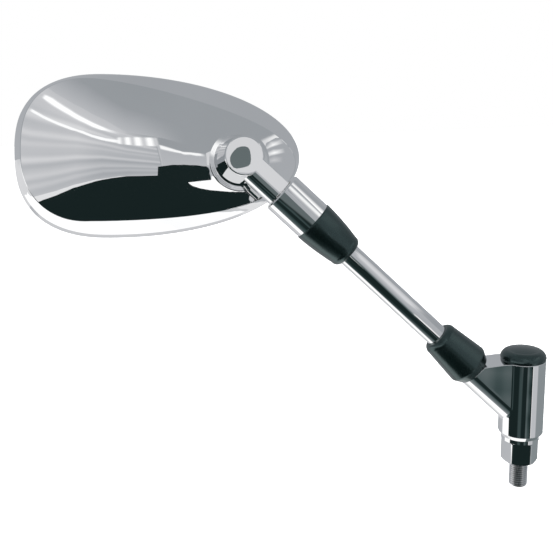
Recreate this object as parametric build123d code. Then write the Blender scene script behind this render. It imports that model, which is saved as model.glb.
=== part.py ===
# Right-hand handlebar mirror: chrome egg-shaped head on a straight stem, with a swivelling base.
# Millimetres. The origin is the centre of the hexagon's lower face, +Z is up along the stud,
# the stem leans towards -X and the glass looks towards +Y.
import os
from math import asin, cos, degrees, pi, radians, sin, sqrt, tan

from build123d import *

os.makedirs("parts", exist_ok=True)

# Clearances
RUNNING_GAP = 0.05  # radial gap of a shaft in its bush
SEAT_GAP = 0.02  # gap between pieces of one body that fit into each other
FACE_GAP = 0.1  # gap between flat faces that turn on each other
FREE_GAP = 0.3  # gap between moving pieces that never touch
NEAR = 0.05  # tolerance for picking out edges

# Mounting stud: M10 thread, hexagon and pivot shaft in one turned piece
STUD_R = 5.0
STUD_LENGTH = 15.5
STUD_CHAMFER = 1.3
HEX_ACROSS_FLATS = 17.5
HEX_HEIGHT = 12.9
HEX_CHAMFER = 1.1
HEX_TURN = -9.0  # degrees about Z, from a flat that faces -Y
HEX_CHAMFER_SLOPE = 40.0  # degrees
SHAFT_R = 5.0
SHAFT_THREAD_R = 4.0

# Thrust washer between hexagon and barrel
THRUST_WASHER_R = 10.1
THRUST_WASHER_THICKNESS = 2.2

# Base bracket: barrel, socket for the stem, and the web between them
BARREL_R = 11.95
BARREL_HEIGHT = 44.1
BARREL_FOOT_TAPER = 1.65
BARREL_FOOT_HEIGHT = 2.5
BUSH_WALL = 1.5
BUSH_LENGTH = 5.0
BUSH_FLANGE_R = 8.4
BUSH_FLANGE_THICKNESS = 1.0
CHAMBER_R = 8.9
CHAMBER_DEPTH = 29.1  # under the barrel's top
SOCKET_R = 9.2
SOCKET_MOUTH = 38.0  # along the stem, from the barrel's axis
SOCKET_DEPTH = 16.0
WEB_SLOPE = 6.4  # degrees, the flat top falls towards the socket
WEB_FILLET = 3.0
BRACKET_EDGE_ROUND = 0.3
BARREL_FOOT_ROUND = 0.5

# Spring pack in the barrel
SPRING_SEAT_PLAY = 0.4  # gap between the washer and the chamber's wall
SPRING_SEAT_THICKNESS = 1.4
SPRING_MEAN_R = 6.9
SPRING_WIRE_R = 0.9
SPRING_LENGTH = 12.0
SPRING_TURNS = 5.0
SPRING_CUP_PLAY = 0.6
SPRING_CUP_THICKNESS = 1.6
PIVOT_NUT_ACROSS_FLATS = 13.0
PIVOT_NUT_HEIGHT = 6.5
PIVOT_NUT_COLLAR_R = 5.6
PIVOT_NUT_COLLAR_HEIGHT = 1.5

# Rubber cap in the top of the barrel
CAP_STEP = 0.15  # how far the cap's foot stands back from the barrel's side
CAP_BULGE = 0.25
CAP_HEIGHT = 6.2
CAP_CROWN = 0.9
CAP_SHOULDER = 4.0
CAP_PLUG_LENGTH = 3.4
CAP_PLUG_WALL = 1.2

# Stem: distances are along the stem, from the barrel's axis
STEM_DROP = 31.95  # how far under the barrel's top the stem's axis meets the barrel's axis
STEM_LEAN = 44.8  # degrees from level
TUBE_R = 6.2
TUBE_WALL = 1.4
TUBE_PLUG_LENGTH = 4.0  # solid end of the tube above its thread
STEM_THREAD_R = 5.0
STEM_THREAD_RUN = 2.0  # bare thread above the lock nut
LOCK_NUT_ACROSS_FLATS = 15.0
LOCK_NUT_HEIGHT = 6.0
LOWER_BOOT_TOP = 66.2
LOWER_BOOT_FOOT_LAP = 0.4  # how far the boot's foot stands out over the socket
LOWER_BOOT_MAX_R = 11.9
LOWER_BOOT_NECK_R = 9.7
LOWER_BOOT_LIP_R = 7.3
LOWER_BOOT_FOOT = 4.6  # length of the bevelled foot
BOOT_LIP_ROUND = 3.6
BOOT_SHOULDER_ROUND = 2.0
BOOT_EDGE_ROUND = 0.7
UPPER_BOOT_FOOT = 132.5
UPPER_BOOT_LIP_R = 7.3
UPPER_BOOT_WAIST_R = 9.2
UPPER_BOOT_SHOULDER_R = 10.8
UPPER_BOOT_TOP_LAP = 0.45  # how far the boot's top stands out over the sleeve
SLEEVE_FOOT = 158.6
SLEEVE_MOUTH = 180.8
SLEEVE_R = 11.05
SLEEVE_NECK_R = 8.2
SLEEVE_NECK_LENGTH = 17.0
SLEEVE_EDGE = 0.6
SLEEVE_TUBE_DEPTH = 15.0
SLEEVE_WEB_THICKNESS = 3.0
TWIST_BUSH_LENGTH = 13.0
TWIST_BUSH_WALL = 1.1
SPIGOT_R = 6.0
TWIST_SCREW_R = 2.5
TWIST_SCREW_DEPTH = 9.0
TWIST_HEAD_R = 4.4
TWIST_HEAD_HEIGHT = 2.8
TWIST_SPRING_R = 4.8
TWIST_SPRING_HEIGHT = 1.3

# Swivel knuckle: cone-shaped disc on the head's swivel axis, and the shank into the sleeve
SWIVEL_STATION = 207.1  # where the swivel axis crosses the stem's axis
SWIVEL_TILT = 18.6  # degrees, the swivel axis leans up from level, across the stem
DISC_FACE = 3.9  # height of the disc's face over the stem's axis
DISC_FACE_R = 10.1
DISC_FACE_ROUND = 0.9
DISC_FOOT_R = 13.6
DISC_FOOT = 10.7  # depth of the disc's foot under the stem's axis
SHANK_UPPER = 5.6  # half widths of the shank above and below the stem's axis
SHANK_LOWER = 8.3
SHANK_BACK = 7.4
SHANK_FRONT_ROUND = 6.6
SHANK_EDGE_ROUND = 0.7
SHANK_BACK_ROUND = 4.5
SWIVEL_WASHER_R = 11.6
SWIVEL_WASHER_BORE_R = 5.0
SWIVEL_WASHER_THICKNESS = 1.0
SWIVEL_SCREW_R = 3.0
SWIVEL_SCREW_DEPTH = 9.0
SWIVEL_PLATE_R = 8.0
SWIVEL_PLATE_THICKNESS = 1.2
SWIVEL_SPRING_R = 7.0
SWIVEL_SPRING_HEIGHT = 1.5
SWIVEL_HEAD_R = 5.4
SWIVEL_HEAD_HEIGHT = 3.2
SWIVEL_HEX_ACROSS_FLATS = 5.0
SWIVEL_HEX_DEPTH = 2.0
SPRING_PLATE = 0.8  # thickness of a disc spring

# Head: heights are along the swivel axis, from the stem's axis
RIM_FACE = -30.0
RIM_LIP = 4.0
RIM_DRAFT = 20.0  # degrees, how far the lip's side leans in
CREASE_ROUND = 0.5
DOME_CREST = -12.0
BOSS_STEPS = ((15.9, 0.8), (15.1, 0.4), (14.4, 0.0))  # radius, depth under the boss's face
BOSS_PAD_R = 9.5
BOSS_PAD = -16.4
HOUSING_WALL = 1.6
RIM_EGG = dict(centre=(-64.7, 5.3), left=50.8, right=101.5, half=43.7, power=2.56, turn=-0.4)
SHOULDER_CENTRE = (-83.5, 7.0)
SHOULDER_DRAW_LEFT = 25.0  # how far the shoulder's outline is drawn in from the rim's, on its three axes
SHOULDER_DRAW_RIGHT = -12.0
SHOULDER_DRAW_HALF = 11.2
SHOULDER_POWER = 2.3
SHOULDER_TURN = -6.0
EGG_STEPS = 8
DOME_CENTRE = (-40.0, 3.6)
DOME_LENGTH_R = 511.0
DOME_CROSS_R = 130.0
DOME_STEPS = 3
DOME_REACH = 1.7  # how far the dome's block reaches past the rim's outline, as a ratio
RIM_OPENING_INSET = 2.4
SEAL_INNER_INSET = 6.0
SEAL_DEPTH = 1.6  # how far the seal reaches past the lip
GLASS_R = 1400.0
GLASS_THICKNESS = 2.5
GLASS_EDGE_INSET = 4.4
BACKING_THICKNESS = 1.4

# Derived places
BARREL_FOOT_R = BARREL_R - BARREL_FOOT_TAPER
SPRING_SEAT_R = CHAMBER_R - SPRING_SEAT_PLAY
SPRING_CUP_R = CHAMBER_R - SPRING_CUP_PLAY
CAP_R = BARREL_R - CAP_STEP
LOWER_BOOT_FOOT_R = SOCKET_R + LOWER_BOOT_FOOT_LAP
UPPER_BOOT_TOP_R = SLEEVE_R + UPPER_BOOT_TOP_LAP
BARREL_FOOT_Z = HEX_HEIGHT + THRUST_WASHER_THICKNESS + FACE_GAP
BARREL_TOP_Z = BARREL_FOOT_Z + BARREL_HEIGHT
CHAMBER_FLOOR_Z = BARREL_TOP_Z - CHAMBER_DEPTH
STEM_FOOT_Z = BARREL_TOP_Z - STEM_DROP
BOSS_FACE = -(DISC_FOOT + FREE_GAP)
LIP_TOP = RIM_FACE + RIM_LIP
LIP_DRAW = RIM_LIP * tan(radians(RIM_DRAFT))
SHOULDER_EGG = dict(
    centre=SHOULDER_CENTRE, left=RIM_EGG["left"] - SHOULDER_DRAW_LEFT,
    right=RIM_EGG["right"] - SHOULDER_DRAW_RIGHT, half=RIM_EGG["half"] - SHOULDER_DRAW_HALF,
    power=SHOULDER_POWER, turn=SHOULDER_TURN)
STEM_DIRECTION = Vector(-cos(radians(STEM_LEAN)), 0, sin(radians(STEM_LEAN)))
ACROSS_STEM = Vector(sin(radians(STEM_LEAN)), 0, cos(radians(STEM_LEAN)))
SWIVEL_AXIS = Vector(0, -cos(radians(SWIVEL_TILT)), 0) + ACROSS_STEM * sin(radians(SWIVEL_TILT))
STEM_FOOT = Vector(0, 0, STEM_FOOT_Z)
SWIVEL_CENTRE = STEM_FOOT + STEM_DIRECTION * SWIVEL_STATION
STEM_PLANE = Plane(origin=STEM_FOOT, x_dir=SWIVEL_AXIS, z_dir=STEM_DIRECTION)
LEVEL_X = Vector(1, 0, 0) - SWIVEL_AXIS * SWIVEL_AXIS.X
HEAD_PLANE = Plane(origin=SWIVEL_CENTRE, x_dir=LEVEL_X, z_dir=SWIVEL_AXIS)


def turned(points):
    """Revolve a closed profile of (radius, height) points about Z."""
    outline = make_face(Polyline(*[(r, 0, z) for r, z in points], close=True))
    return revolve(outline, Axis.Z)


def ring(outer, inner, low, high):
    """A flat ring about Z between two heights."""
    return turned([(inner, low), (outer, low), (outer, high), (inner, high)])


def rod(radius, low, high):
    """A plain cylinder about Z between two heights."""
    return Pos(0, 0, low) * Cylinder(radius, high - low, align=(Align.CENTER, Align.CENTER, Align.MIN))


def hexagon(across_flats, low, high):
    """A hexagonal bar about Z between two heights, with a flat towards -Y."""
    return Pos(0, 0, low) * extrude(RegularPolygon(across_flats / sqrt(3), 6), high - low)


def chamfered_hexagon(across_flats, low, high, chamfer):
    """A hexagonal bar whose corners are turned off at both ends."""
    corner = across_flats / sqrt(3)
    end = corner - chamfer
    drop = chamfer * tan(radians(HEX_CHAMFER_SLOPE))
    cone = turned([
        (0, low), (end, low), (corner, low + drop), (corner, high - drop), (end, high), (0, high)])
    return hexagon(across_flats, low, high) & cone


def disc_spring(outer, inner, low, high, plate):
    """A conical spring washer about Z, with its inner edge up."""
    return turned([(inner, high - plate), (outer, low), (outer, low + plate), (inner, high)])


def on_stem(piece):
    """Place a piece made about Z, with heights along the stem."""
    return STEM_PLANE.location * piece


def on_head(piece):
    """Place a piece made about Z, with heights along the swivel axis."""
    return HEAD_PLANE.location * piece


def egg_face(height, inset, centre, left, right, half, power, turn):
    """An egg-shaped face: half an ellipse on the right, a fuller rounded end on the left."""
    left -= inset
    right -= inset
    half -= inset
    points = []
    tangents = []
    for step in range(EGG_STEPS + 1):
        angle = pi / 2 + pi * step / EGG_STEPS
        side = 1 if step <= EGG_STEPS / 2 else -1
        across = abs(cos(angle)) ** (2 / power)
        along = side * abs(sin(angle)) ** (2 / power)
        points.append((-left * across, half * along))
        tangents.append((-left * side * abs(along) ** (power - 1), -half * across ** (power - 1)))
    pointed = EllipticalCenterArc((0, 0), right, half, start_angle=-90, arc_size=180)
    full = Spline(*points, tangents=tangents)
    return Pos(centre[0], centre[1], height) * Rot(0, 0, turn) * make_face(pointed + full)


def egg_prism(low, high, inset):
    """An upright prism of the rim's outline, drawn in by an inset."""
    return extrude(egg_face(low, inset, **RIM_EGG), high - low, dir=(0, 0, 1))


def dome(crest, offset):
    """The block under the head's domed back, its surface moved in by an offset."""
    length_r = DOME_LENGTH_R - offset
    cross_r = DOME_CROSS_R - offset
    half_width = DOME_REACH * RIM_EGG["half"]
    half_length = DOME_REACH * (RIM_EGG["left"] + RIM_EGG["right"]) / 2
    centre = length_r - cross_r
    points = []
    for step in range(-DOME_STEPS, DOME_STEPS + 1):
        across = half_width * step / DOME_STEPS
        points.append((across, centre + sqrt(cross_r**2 - across**2)))
    base = points[-1][1] + RIM_FACE
    arc = Spline(*points, tangents=[(high - centre, -across) for across, high in points])
    sides = Polyline(arc @ 1, (half_width, base), (-half_width, base), arc @ 0)
    plane = Plane(origin=(*DOME_CENTRE, crest - offset - length_r), x_dir=(0, 1, 0), z_dir=(1, 0, 0))
    axis = Axis(plane.origin, (0, 1, 0))
    half_sweep = degrees(asin(half_length / length_r))
    block = revolve(plane * make_face(arc + sides), axis, 2 * half_sweep)
    return block.rotate(axis, -half_sweep)


def head_form(inset):
    """The head's outer form above its lip, or the hollow in it when drawn in."""
    shoulder = egg_face(DOME_CREST, inset, **SHOULDER_EGG)
    flare = loft([egg_face(LIP_TOP, LIP_DRAW + inset, **RIM_EGG), shoulder], ruled=True)
    return flare & dome(DOME_CREST, inset)


def rim_band(low_inset, high_inset):
    """The block of the rim's lip, drawn in by one inset below and another above."""
    low = egg_face(RIM_FACE, low_inset, **RIM_EGG)
    return loft([low, egg_face(LIP_TOP, high_inset, **RIM_EGG)], ruled=True)


def mounting_stud():
    """M10 stud, hexagon and pivot shaft."""
    thread_foot = spring_cup_foot()
    tip = -STUD_LENGTH
    end = STUD_R - STUD_CHAMFER
    stud = turned([(0, tip), (end, tip), (STUD_R, tip + STUD_CHAMFER), (STUD_R, 0), (0, 0)])
    bar = Rot(0, 0, HEX_TURN) * chamfered_hexagon(HEX_ACROSS_FLATS, 0, HEX_HEIGHT, HEX_CHAMFER)
    shaft = rod(SHAFT_R, HEX_HEIGHT, thread_foot) + rod(SHAFT_THREAD_R, thread_foot, pivot_nut_top())
    return stud + bar + shaft


def spring_seat_foot():
    """Height of the washer under the coil spring."""
    return CHAMBER_FLOOR_Z + BUSH_FLANGE_THICKNESS + FACE_GAP


def spring_foot():
    """Height of the coil spring's lower end."""
    return spring_seat_foot() + SPRING_SEAT_THICKNESS


def spring_cup_foot():
    """Height of the washer over the coil spring."""
    return spring_foot() + SPRING_LENGTH


def pivot_nut_foot():
    """Height of the pivot nut's lower face."""
    return spring_cup_foot() + SPRING_CUP_THICKNESS


def pivot_nut_top():
    """Height of the pivot nut's collar, level with the end of the shaft."""
    return pivot_nut_foot() + PIVOT_NUT_HEIGHT + PIVOT_NUT_COLLAR_HEIGHT


def pivot_spring():
    """Coil spring round the pivot shaft."""
    rise = SPRING_LENGTH - 2 * SPRING_WIRE_R
    path = Helix(rise / SPRING_TURNS, rise, SPRING_MEAN_R)
    wire = Plane(origin=path @ 0, z_dir=path % 0) * Circle(SPRING_WIRE_R)
    return Pos(0, 0, spring_foot() + SPRING_WIRE_R) * sweep(wire, path, is_frenet=True)


def pivot_nut():
    """Self-locking nut on the end of the pivot shaft."""
    low = pivot_nut_foot()
    body = chamfered_hexagon(PIVOT_NUT_ACROSS_FLATS, low, low + PIVOT_NUT_HEIGHT, HEX_CHAMFER / 2)
    collar = rod(PIVOT_NUT_COLLAR_R, low + PIVOT_NUT_HEIGHT, pivot_nut_top())
    return body + collar - rod(SHAFT_THREAD_R + SEAT_GAP, low, pivot_nut_top())


def barrel_bush(low, flange_low):
    """Flanged bush for the pivot shaft."""
    bore = SHAFT_R + RUNNING_GAP
    sleeve = ring(bore + BUSH_WALL, bore, low, low + BUSH_LENGTH)
    return sleeve + ring(BUSH_FLANGE_R, bore, flange_low, flange_low + BUSH_FLANGE_THICKNESS)


def web_top(x):
    """Height of the web's flat top at a place along X."""
    return BARREL_TOP_Z + (x + BARREL_R) * tan(radians(WEB_SLOPE))


def web_outline():
    """Side view of the web, between the stem's axis and its flat top."""
    mouth = STEM_FOOT + STEM_DIRECTION * SOCKET_MOUTH
    slope = tan(radians(WEB_SLOPE))
    climb = (web_top(mouth.X) - mouth.Z) / (ACROSS_STEM.Z - slope * ACROSS_STEM.X)
    corner = mouth + ACROSS_STEM * climb
    lower = [(0, STEM_FOOT_Z), (mouth.X, mouth.Z), (corner.X, corner.Z)]
    upper = [(-BARREL_R, BARREL_TOP_Z), (0, BARREL_TOP_Z)]
    return Plane.XZ * make_face(Polyline(*lower, *upper, close=True))


def base_bracket():
    """Casting with the swivel barrel, the stem's socket and the web between them."""
    foot = BARREL_FOOT_Z
    top = BARREL_TOP_Z
    barrel = turned([
        (0, foot), (BARREL_FOOT_R, foot), (BARREL_R, foot + BARREL_FOOT_HEIGHT), (BARREL_R, top), (0, top)])
    barrel = fillet(barrel.edges().filter_by(GeomType.CIRCLE).sort_by(Axis.Z)[1], BARREL_FOOT_ROUND)
    web = extrude(web_outline(), SOCKET_R, both=True)
    socket = on_stem(rod(SOCKET_R, 0, SOCKET_MOUTH))
    above = Plane.XZ * make_face(Polyline(
        (-BARREL_R, top), (-SOCKET_MOUTH, web_top(-SOCKET_MOUTH)), (-SOCKET_MOUTH, top + SOCKET_R),
        (BARREL_R, top + SOCKET_R), (BARREL_R, top), close=True))
    arm = web + socket - extrude(above, 2 * SOCKET_R, both=True)
    body = barrel + arm
    body = fillet([edge for edge in body.edges() if on_barrel_joint(edge)], WEB_FILLET)
    body = fillet([edge for edge in body.edges() if on_arm_rim(edge)], BRACKET_EDGE_ROUND)
    bush_seat = SHAFT_R + RUNNING_GAP + BUSH_WALL + SEAT_GAP
    body -= rod(bush_seat, foot, CHAMBER_FLOOR_Z)
    body -= rod(BUSH_FLANGE_R + SEAT_GAP, foot, foot + BUSH_FLANGE_THICKNESS)
    body -= rod(CHAMBER_R, CHAMBER_FLOOR_Z, top)
    return body - on_stem(rod(STEM_THREAD_R + SEAT_GAP, SOCKET_MOUTH - SOCKET_DEPTH, SOCKET_MOUTH))


def on_barrel_joint(edge):
    """Whether an edge lies where the barrel meets the socket and the sides of the web."""
    middle = edge @ 0.5
    start = edge @ 0.0
    on_barrel = all(abs(sqrt(p.X**2 + p.Y**2) - BARREL_R) < NEAR for p in (middle, start))
    inside = BARREL_FOOT_Z + BARREL_FOOT_HEIGHT + NEAR < middle.Z < BARREL_TOP_Z - NEAR
    return on_barrel and inside and middle.X < 0 and abs(middle.Y) < SOCKET_R + NEAR


def on_arm_rim(edge):
    """Whether an edge runs round the socket's mouth or along a side of the web's flat top."""
    middle = edge @ 0.5
    at_mouth = abs(STEM_PLANE.to_local_coords(middle).Z - SOCKET_MOUTH) < NEAR
    top = min(BARREL_TOP_Z, web_top(middle.X))
    off_barrel = sqrt(middle.X**2 + middle.Y**2) > BARREL_R + NEAR
    on_side = off_barrel and abs(middle.Y) > SOCKET_R - NEAR and middle.Z > top - NEAR
    return at_mouth or on_side


def barrel_cap():
    """Soft domed cap with a hollow plug that holds in the barrel's mouth."""
    low = BARREL_TOP_Z
    top = low + CAP_HEIGHT
    shoulder = top - CAP_CROWN - CAP_SHOULDER
    plug = CHAMBER_R - SEAT_GAP
    crown_r = CAP_R - CAP_SHOULDER
    crown = ThreePointArc((-crown_r, top - CAP_CROWN), (0, top), (crown_r, top - CAP_CROWN))
    corner = RadiusArc(crown @ 1, (CAP_R + CAP_BULGE, shoulder), CAP_SHOULDER + CAP_BULGE)
    half = ThreePointArc((0, top), crown @ 0.75, crown @ 1)
    side = Polyline(
        corner @ 1, (CAP_R, low), (plug, low), (plug, low - CAP_PLUG_LENGTH),
        (plug - CAP_PLUG_WALL, low - CAP_PLUG_LENGTH), (plug - CAP_PLUG_WALL, low), (0, low), (0, top))
    return revolve(Plane.XZ * make_face(half + corner + side), Axis.Z)


def thrust_washer():
    """Steel ring between the hexagon and the barrel."""
    return ring(THRUST_WASHER_R, SHAFT_R + SEAT_GAP, HEX_HEIGHT, HEX_HEIGHT + THRUST_WASHER_THICKNESS)


def tube_foot():
    """Where the tube ends in the socket."""
    return SOCKET_MOUTH - SOCKET_DEPTH + FREE_GAP


def tube_top():
    """Where the tube ends in the sleeve."""
    return SLEEVE_FOOT - SLEEVE_NECK_LENGTH + SLEEVE_TUBE_DEPTH


def stem_tube():
    """Chrome tube with a threaded lower end."""
    thread_top = SOCKET_MOUTH + LOCK_NUT_HEIGHT + STEM_THREAD_RUN
    plug_top = thread_top + TUBE_PLUG_LENGTH
    tube = rod(TUBE_R, thread_top, tube_top() - SEAT_GAP)
    tube -= rod(TUBE_R - TUBE_WALL, plug_top, tube_top())
    return on_stem(tube + rod(STEM_THREAD_R, tube_foot(), thread_top))


def stem_lock_nut():
    """Thin nut that locks the stem in the socket, under the lower boot."""
    low = SOCKET_MOUTH
    nut = chamfered_hexagon(LOCK_NUT_ACROSS_FLATS, low, low + LOCK_NUT_HEIGHT, HEX_CHAMFER / 2)
    return on_stem(nut - rod(STEM_THREAD_R + SEAT_GAP, low, low + LOCK_NUT_HEIGHT))


def corner_at(face, place):
    """The corner of a face that is nearest to a place."""
    return face.vertices().sort_by_distance(place)[0]


def lower_boot():
    """Rubber boot over the lock nut, widest near its foot."""
    low = SOCKET_MOUTH + SEAT_GAP
    bore = TUBE_R + SEAT_GAP
    shoulder = low + LOWER_BOOT_FOOT
    neck = LOWER_BOOT_TOP - BOOT_LIP_ROUND
    hollow = LOCK_NUT_ACROSS_FLATS / sqrt(3) + FREE_GAP
    hollow_top = low + LOCK_NUT_HEIGHT + FREE_GAP
    foot = Line((LOWER_BOOT_FOOT_R, low), (LOWER_BOOT_MAX_R, shoulder))
    flank = Line((LOWER_BOOT_MAX_R, shoulder), (LOWER_BOOT_NECK_R, neck))
    lip = RadiusArc((LOWER_BOOT_NECK_R, neck), (LOWER_BOOT_LIP_R, LOWER_BOOT_TOP), -BOOT_LIP_ROUND)
    inside = Polyline(
        lip @ 1, (bore, LOWER_BOOT_TOP), (bore, hollow_top + hollow - bore),
        (hollow, hollow_top), (hollow, low), (LOWER_BOOT_FOOT_R, low))
    face = make_face(foot + flank + lip + inside)
    face = fillet(corner_at(face, foot @ 1), BOOT_SHOULDER_ROUND)
    face = fillet(corner_at(face, flank @ 1), BOOT_EDGE_ROUND)
    return on_stem(revolve(Plane.XZ * face, Axis.Z))


def upper_boot():
    """Rubber boot over the sleeve's neck, swelling towards the sleeve."""
    low = UPPER_BOOT_FOOT
    top = SLEEVE_FOOT - SEAT_GAP
    bore = TUBE_R + SEAT_GAP
    hollow = SLEEVE_NECK_R + SEAT_GAP
    hollow_foot = SLEEVE_FOOT - SLEEVE_NECK_LENGTH - FREE_GAP
    waist = low + BOOT_LIP_ROUND
    middle = (waist + top) / 2
    lip = RadiusArc((UPPER_BOOT_LIP_R, low), (UPPER_BOOT_WAIST_R, waist), -BOOT_LIP_ROUND)
    flank = ThreePointArc(lip @ 1, (UPPER_BOOT_SHOULDER_R, middle), (UPPER_BOOT_TOP_R, top))
    inside = Polyline(
        (UPPER_BOOT_TOP_R, top), (hollow, top), (hollow, hollow_foot),
        (bore, hollow_foot - hollow + bore), (bore, low), (UPPER_BOOT_LIP_R, low))
    face = make_face(lip + flank + inside)
    face = fillet(corner_at(face, flank @ 0), BOOT_EDGE_ROUND)
    face = fillet(corner_at(face, flank @ 1), BOOT_EDGE_ROUND)
    return on_stem(revolve(Plane.XZ * face, Axis.Z))


def twist_web_foot():
    """Lower face of the wall in the sleeve that the spigot is screwed against."""
    return SLEEVE_MOUTH - TWIST_BUSH_LENGTH - SLEEVE_WEB_THICKNESS - FREE_GAP


def stem_sleeve():
    """Chrome sleeve: neck for the tube below, bore for the knuckle's spigot above."""
    neck_foot = SLEEVE_FOOT - SLEEVE_NECK_LENGTH
    web = twist_web_foot()
    bush = SPIGOT_R + RUNNING_GAP + TWIST_BUSH_WALL + SEAT_GAP
    edge = SLEEVE_R - SLEEVE_EDGE
    body = turned([
        (0, neck_foot), (SLEEVE_NECK_R, neck_foot), (SLEEVE_NECK_R, SLEEVE_FOOT), (SLEEVE_R, SLEEVE_FOOT),
        (SLEEVE_R, SLEEVE_MOUTH - SLEEVE_EDGE), (edge, SLEEVE_MOUTH), (0, SLEEVE_MOUTH)])
    body -= rod(TUBE_R + SEAT_GAP, neck_foot, tube_top())
    body -= rod(TWIST_SPRING_R + FREE_GAP, tube_top(), web)
    body -= rod(TWIST_SCREW_R + RUNNING_GAP, web, SLEEVE_MOUTH)
    body -= rod(bush, web + SLEEVE_WEB_THICKNESS, SLEEVE_MOUTH)
    return on_stem(body)


def sleeve_bush():
    """Plastic bush for the knuckle's spigot."""
    bore = SPIGOT_R + RUNNING_GAP
    low = SLEEVE_MOUTH - TWIST_BUSH_LENGTH
    return on_stem(ring(bore + TWIST_BUSH_WALL, bore, low, SLEEVE_MOUTH - FREE_GAP))


def twist_spring():
    """Disc spring that keeps the spigot tight in the sleeve."""
    top = twist_web_foot() - FACE_GAP
    low = top - TWIST_SPRING_HEIGHT
    return on_stem(disc_spring(TWIST_SPRING_R, TWIST_SCREW_R + SEAT_GAP, low, top, SPRING_PLATE))


def twist_screw():
    """Screw up into the spigot, through the wall in the sleeve."""
    seat = twist_web_foot() - FACE_GAP - TWIST_SPRING_HEIGHT
    tip = SLEEVE_MOUTH - TWIST_BUSH_LENGTH + TWIST_SCREW_DEPTH
    return on_stem(rod(TWIST_HEAD_R, seat - TWIST_HEAD_HEIGHT, seat) + rod(TWIST_SCREW_R, seat, tip))


def shank_section():
    """Section of the knuckle's shank: flat face in front, one generous round below it."""
    width = SHANK_UPPER + SHANK_LOWER
    depth = DISC_FACE + SHANK_BACK
    corner = Pos((DISC_FACE - SHANK_BACK) / 2, (SHANK_UPPER - SHANK_LOWER) / 2) * Rectangle(depth, width)
    front = corner.vertices().group_by(Axis.X)[-1].sort_by(Axis.Y)
    corner = fillet(front[0], SHANK_FRONT_ROUND)
    corner = fillet(corner.vertices().group_by(Axis.X)[-1].sort_by(Axis.Y)[-1], SHANK_EDGE_ROUND)
    return fillet(corner.vertices().group_by(Axis.X)[0], SHANK_BACK_ROUND)


def swivel_knuckle():
    """Cone-shaped disc with the shank that turns in the sleeve."""
    foot = -DISC_FOOT
    disc = turned([(0, foot), (DISC_FOOT_R, foot), (DISC_FACE_R, DISC_FACE), (0, DISC_FACE)])
    disc = fillet(disc.edges().group_by(Axis.Z)[-1], DISC_FACE_ROUND)
    shank_foot = SLEEVE_MOUTH + FREE_GAP
    shank = Pos(0, 0, shank_foot) * extrude(shank_section(), SWIVEL_STATION - shank_foot)
    spigot = rod(SPIGOT_R, SLEEVE_MOUTH - TWIST_BUSH_LENGTH, shank_foot)
    body = on_head(disc) + on_stem(shank) + on_stem(spigot)
    recess = ring(SWIVEL_WASHER_R + SEAT_GAP, 0, foot, washer_seat())
    hole = rod(SWIVEL_SCREW_R + SEAT_GAP, foot, foot + SWIVEL_SCREW_DEPTH)
    tip = SLEEVE_MOUTH - TWIST_BUSH_LENGTH
    tapped = rod(TWIST_SCREW_R + SEAT_GAP, tip, tip + TWIST_SCREW_DEPTH + FREE_GAP)
    return body - on_head(recess) - on_head(hole) - on_stem(tapped)


def washer_seat():
    """Floor of the recess for the friction washer, along the swivel axis."""
    return BOSS_FACE + FACE_GAP + SWIVEL_WASHER_THICKNESS


def swivel_washer():
    """Plastic friction washer between the knuckle and the boss."""
    low = BOSS_FACE + FACE_GAP
    return on_head(ring(SWIVEL_WASHER_R, SWIVEL_WASHER_BORE_R, low, low + SWIVEL_WASHER_THICKNESS))


def swivel_plate_top():
    """Upper face of the steel washer inside the housing."""
    return BOSS_PAD - FACE_GAP


def swivel_plate():
    """Steel washer under the boss, inside the housing."""
    top = swivel_plate_top()
    return on_head(ring(SWIVEL_PLATE_R, SWIVEL_SCREW_R + SEAT_GAP, top - SWIVEL_PLATE_THICKNESS, top))


def swivel_spring():
    """Disc spring that keeps the swivel tight."""
    top = swivel_plate_top() - SWIVEL_PLATE_THICKNESS
    low = top - SWIVEL_SPRING_HEIGHT
    return on_head(disc_spring(SWIVEL_SPRING_R, SWIVEL_SCREW_R + SEAT_GAP, low, top, SPRING_PLATE))


def swivel_screw():
    """Socket-head screw from inside the housing into the knuckle."""
    seat = swivel_plate_top() - SWIVEL_PLATE_THICKNESS - SWIVEL_SPRING_HEIGHT
    low = seat - SWIVEL_HEAD_HEIGHT
    tip = SWIVEL_SCREW_DEPTH - DISC_FOOT - FREE_GAP
    screw = rod(SWIVEL_HEAD_R, low, seat) + rod(SWIVEL_SCREW_R, seat, tip)
    return on_head(screw - hexagon(SWIVEL_HEX_ACROSS_FLATS, low, low + SWIVEL_HEX_DEPTH))


def mirror_housing():
    """Chrome back shell with its rim lip, flared band, domed back and stepped boss."""
    form = head_form(0)
    form = fillet([edge for edge in form.edges() if above_lip(edge)], CREASE_ROUND)
    shell = form + rim_band(0, LIP_DRAW)
    for radius, depth in BOSS_STEPS:
        shell += rod(radius, BOSS_PAD, BOSS_FACE - depth)
    shell -= head_form(HOUSING_WALL) - rod(BOSS_PAD_R, BOSS_PAD, BOSS_FACE)
    shell -= rim_band(RIM_OPENING_INSET, LIP_DRAW + HOUSING_WALL)
    return on_head(shell - rod(SWIVEL_SCREW_R + RUNNING_GAP, BOSS_PAD, BOSS_FACE))


def above_lip(edge):
    """Whether an edge of the head's form lies wholly above the lip, as the crease does."""
    return all((edge @ share).Z > LIP_TOP + NEAR for share in (0, 0.5, 1))


def glass_ball(offset):
    """Ball whose skin is the glass's front, moved in by an offset."""
    return Pos(*DOME_CENTRE, RIM_FACE + GLASS_R) * Sphere(GLASS_R - offset)


def curved_plate(inset, front, back):
    """Plate with the rim's outline drawn in, between two depths behind the glass's front."""
    prism = egg_prism(RIM_FACE - GLASS_THICKNESS, DOME_CREST, inset)
    return prism & (glass_ball(front) - glass_ball(back))


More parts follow.
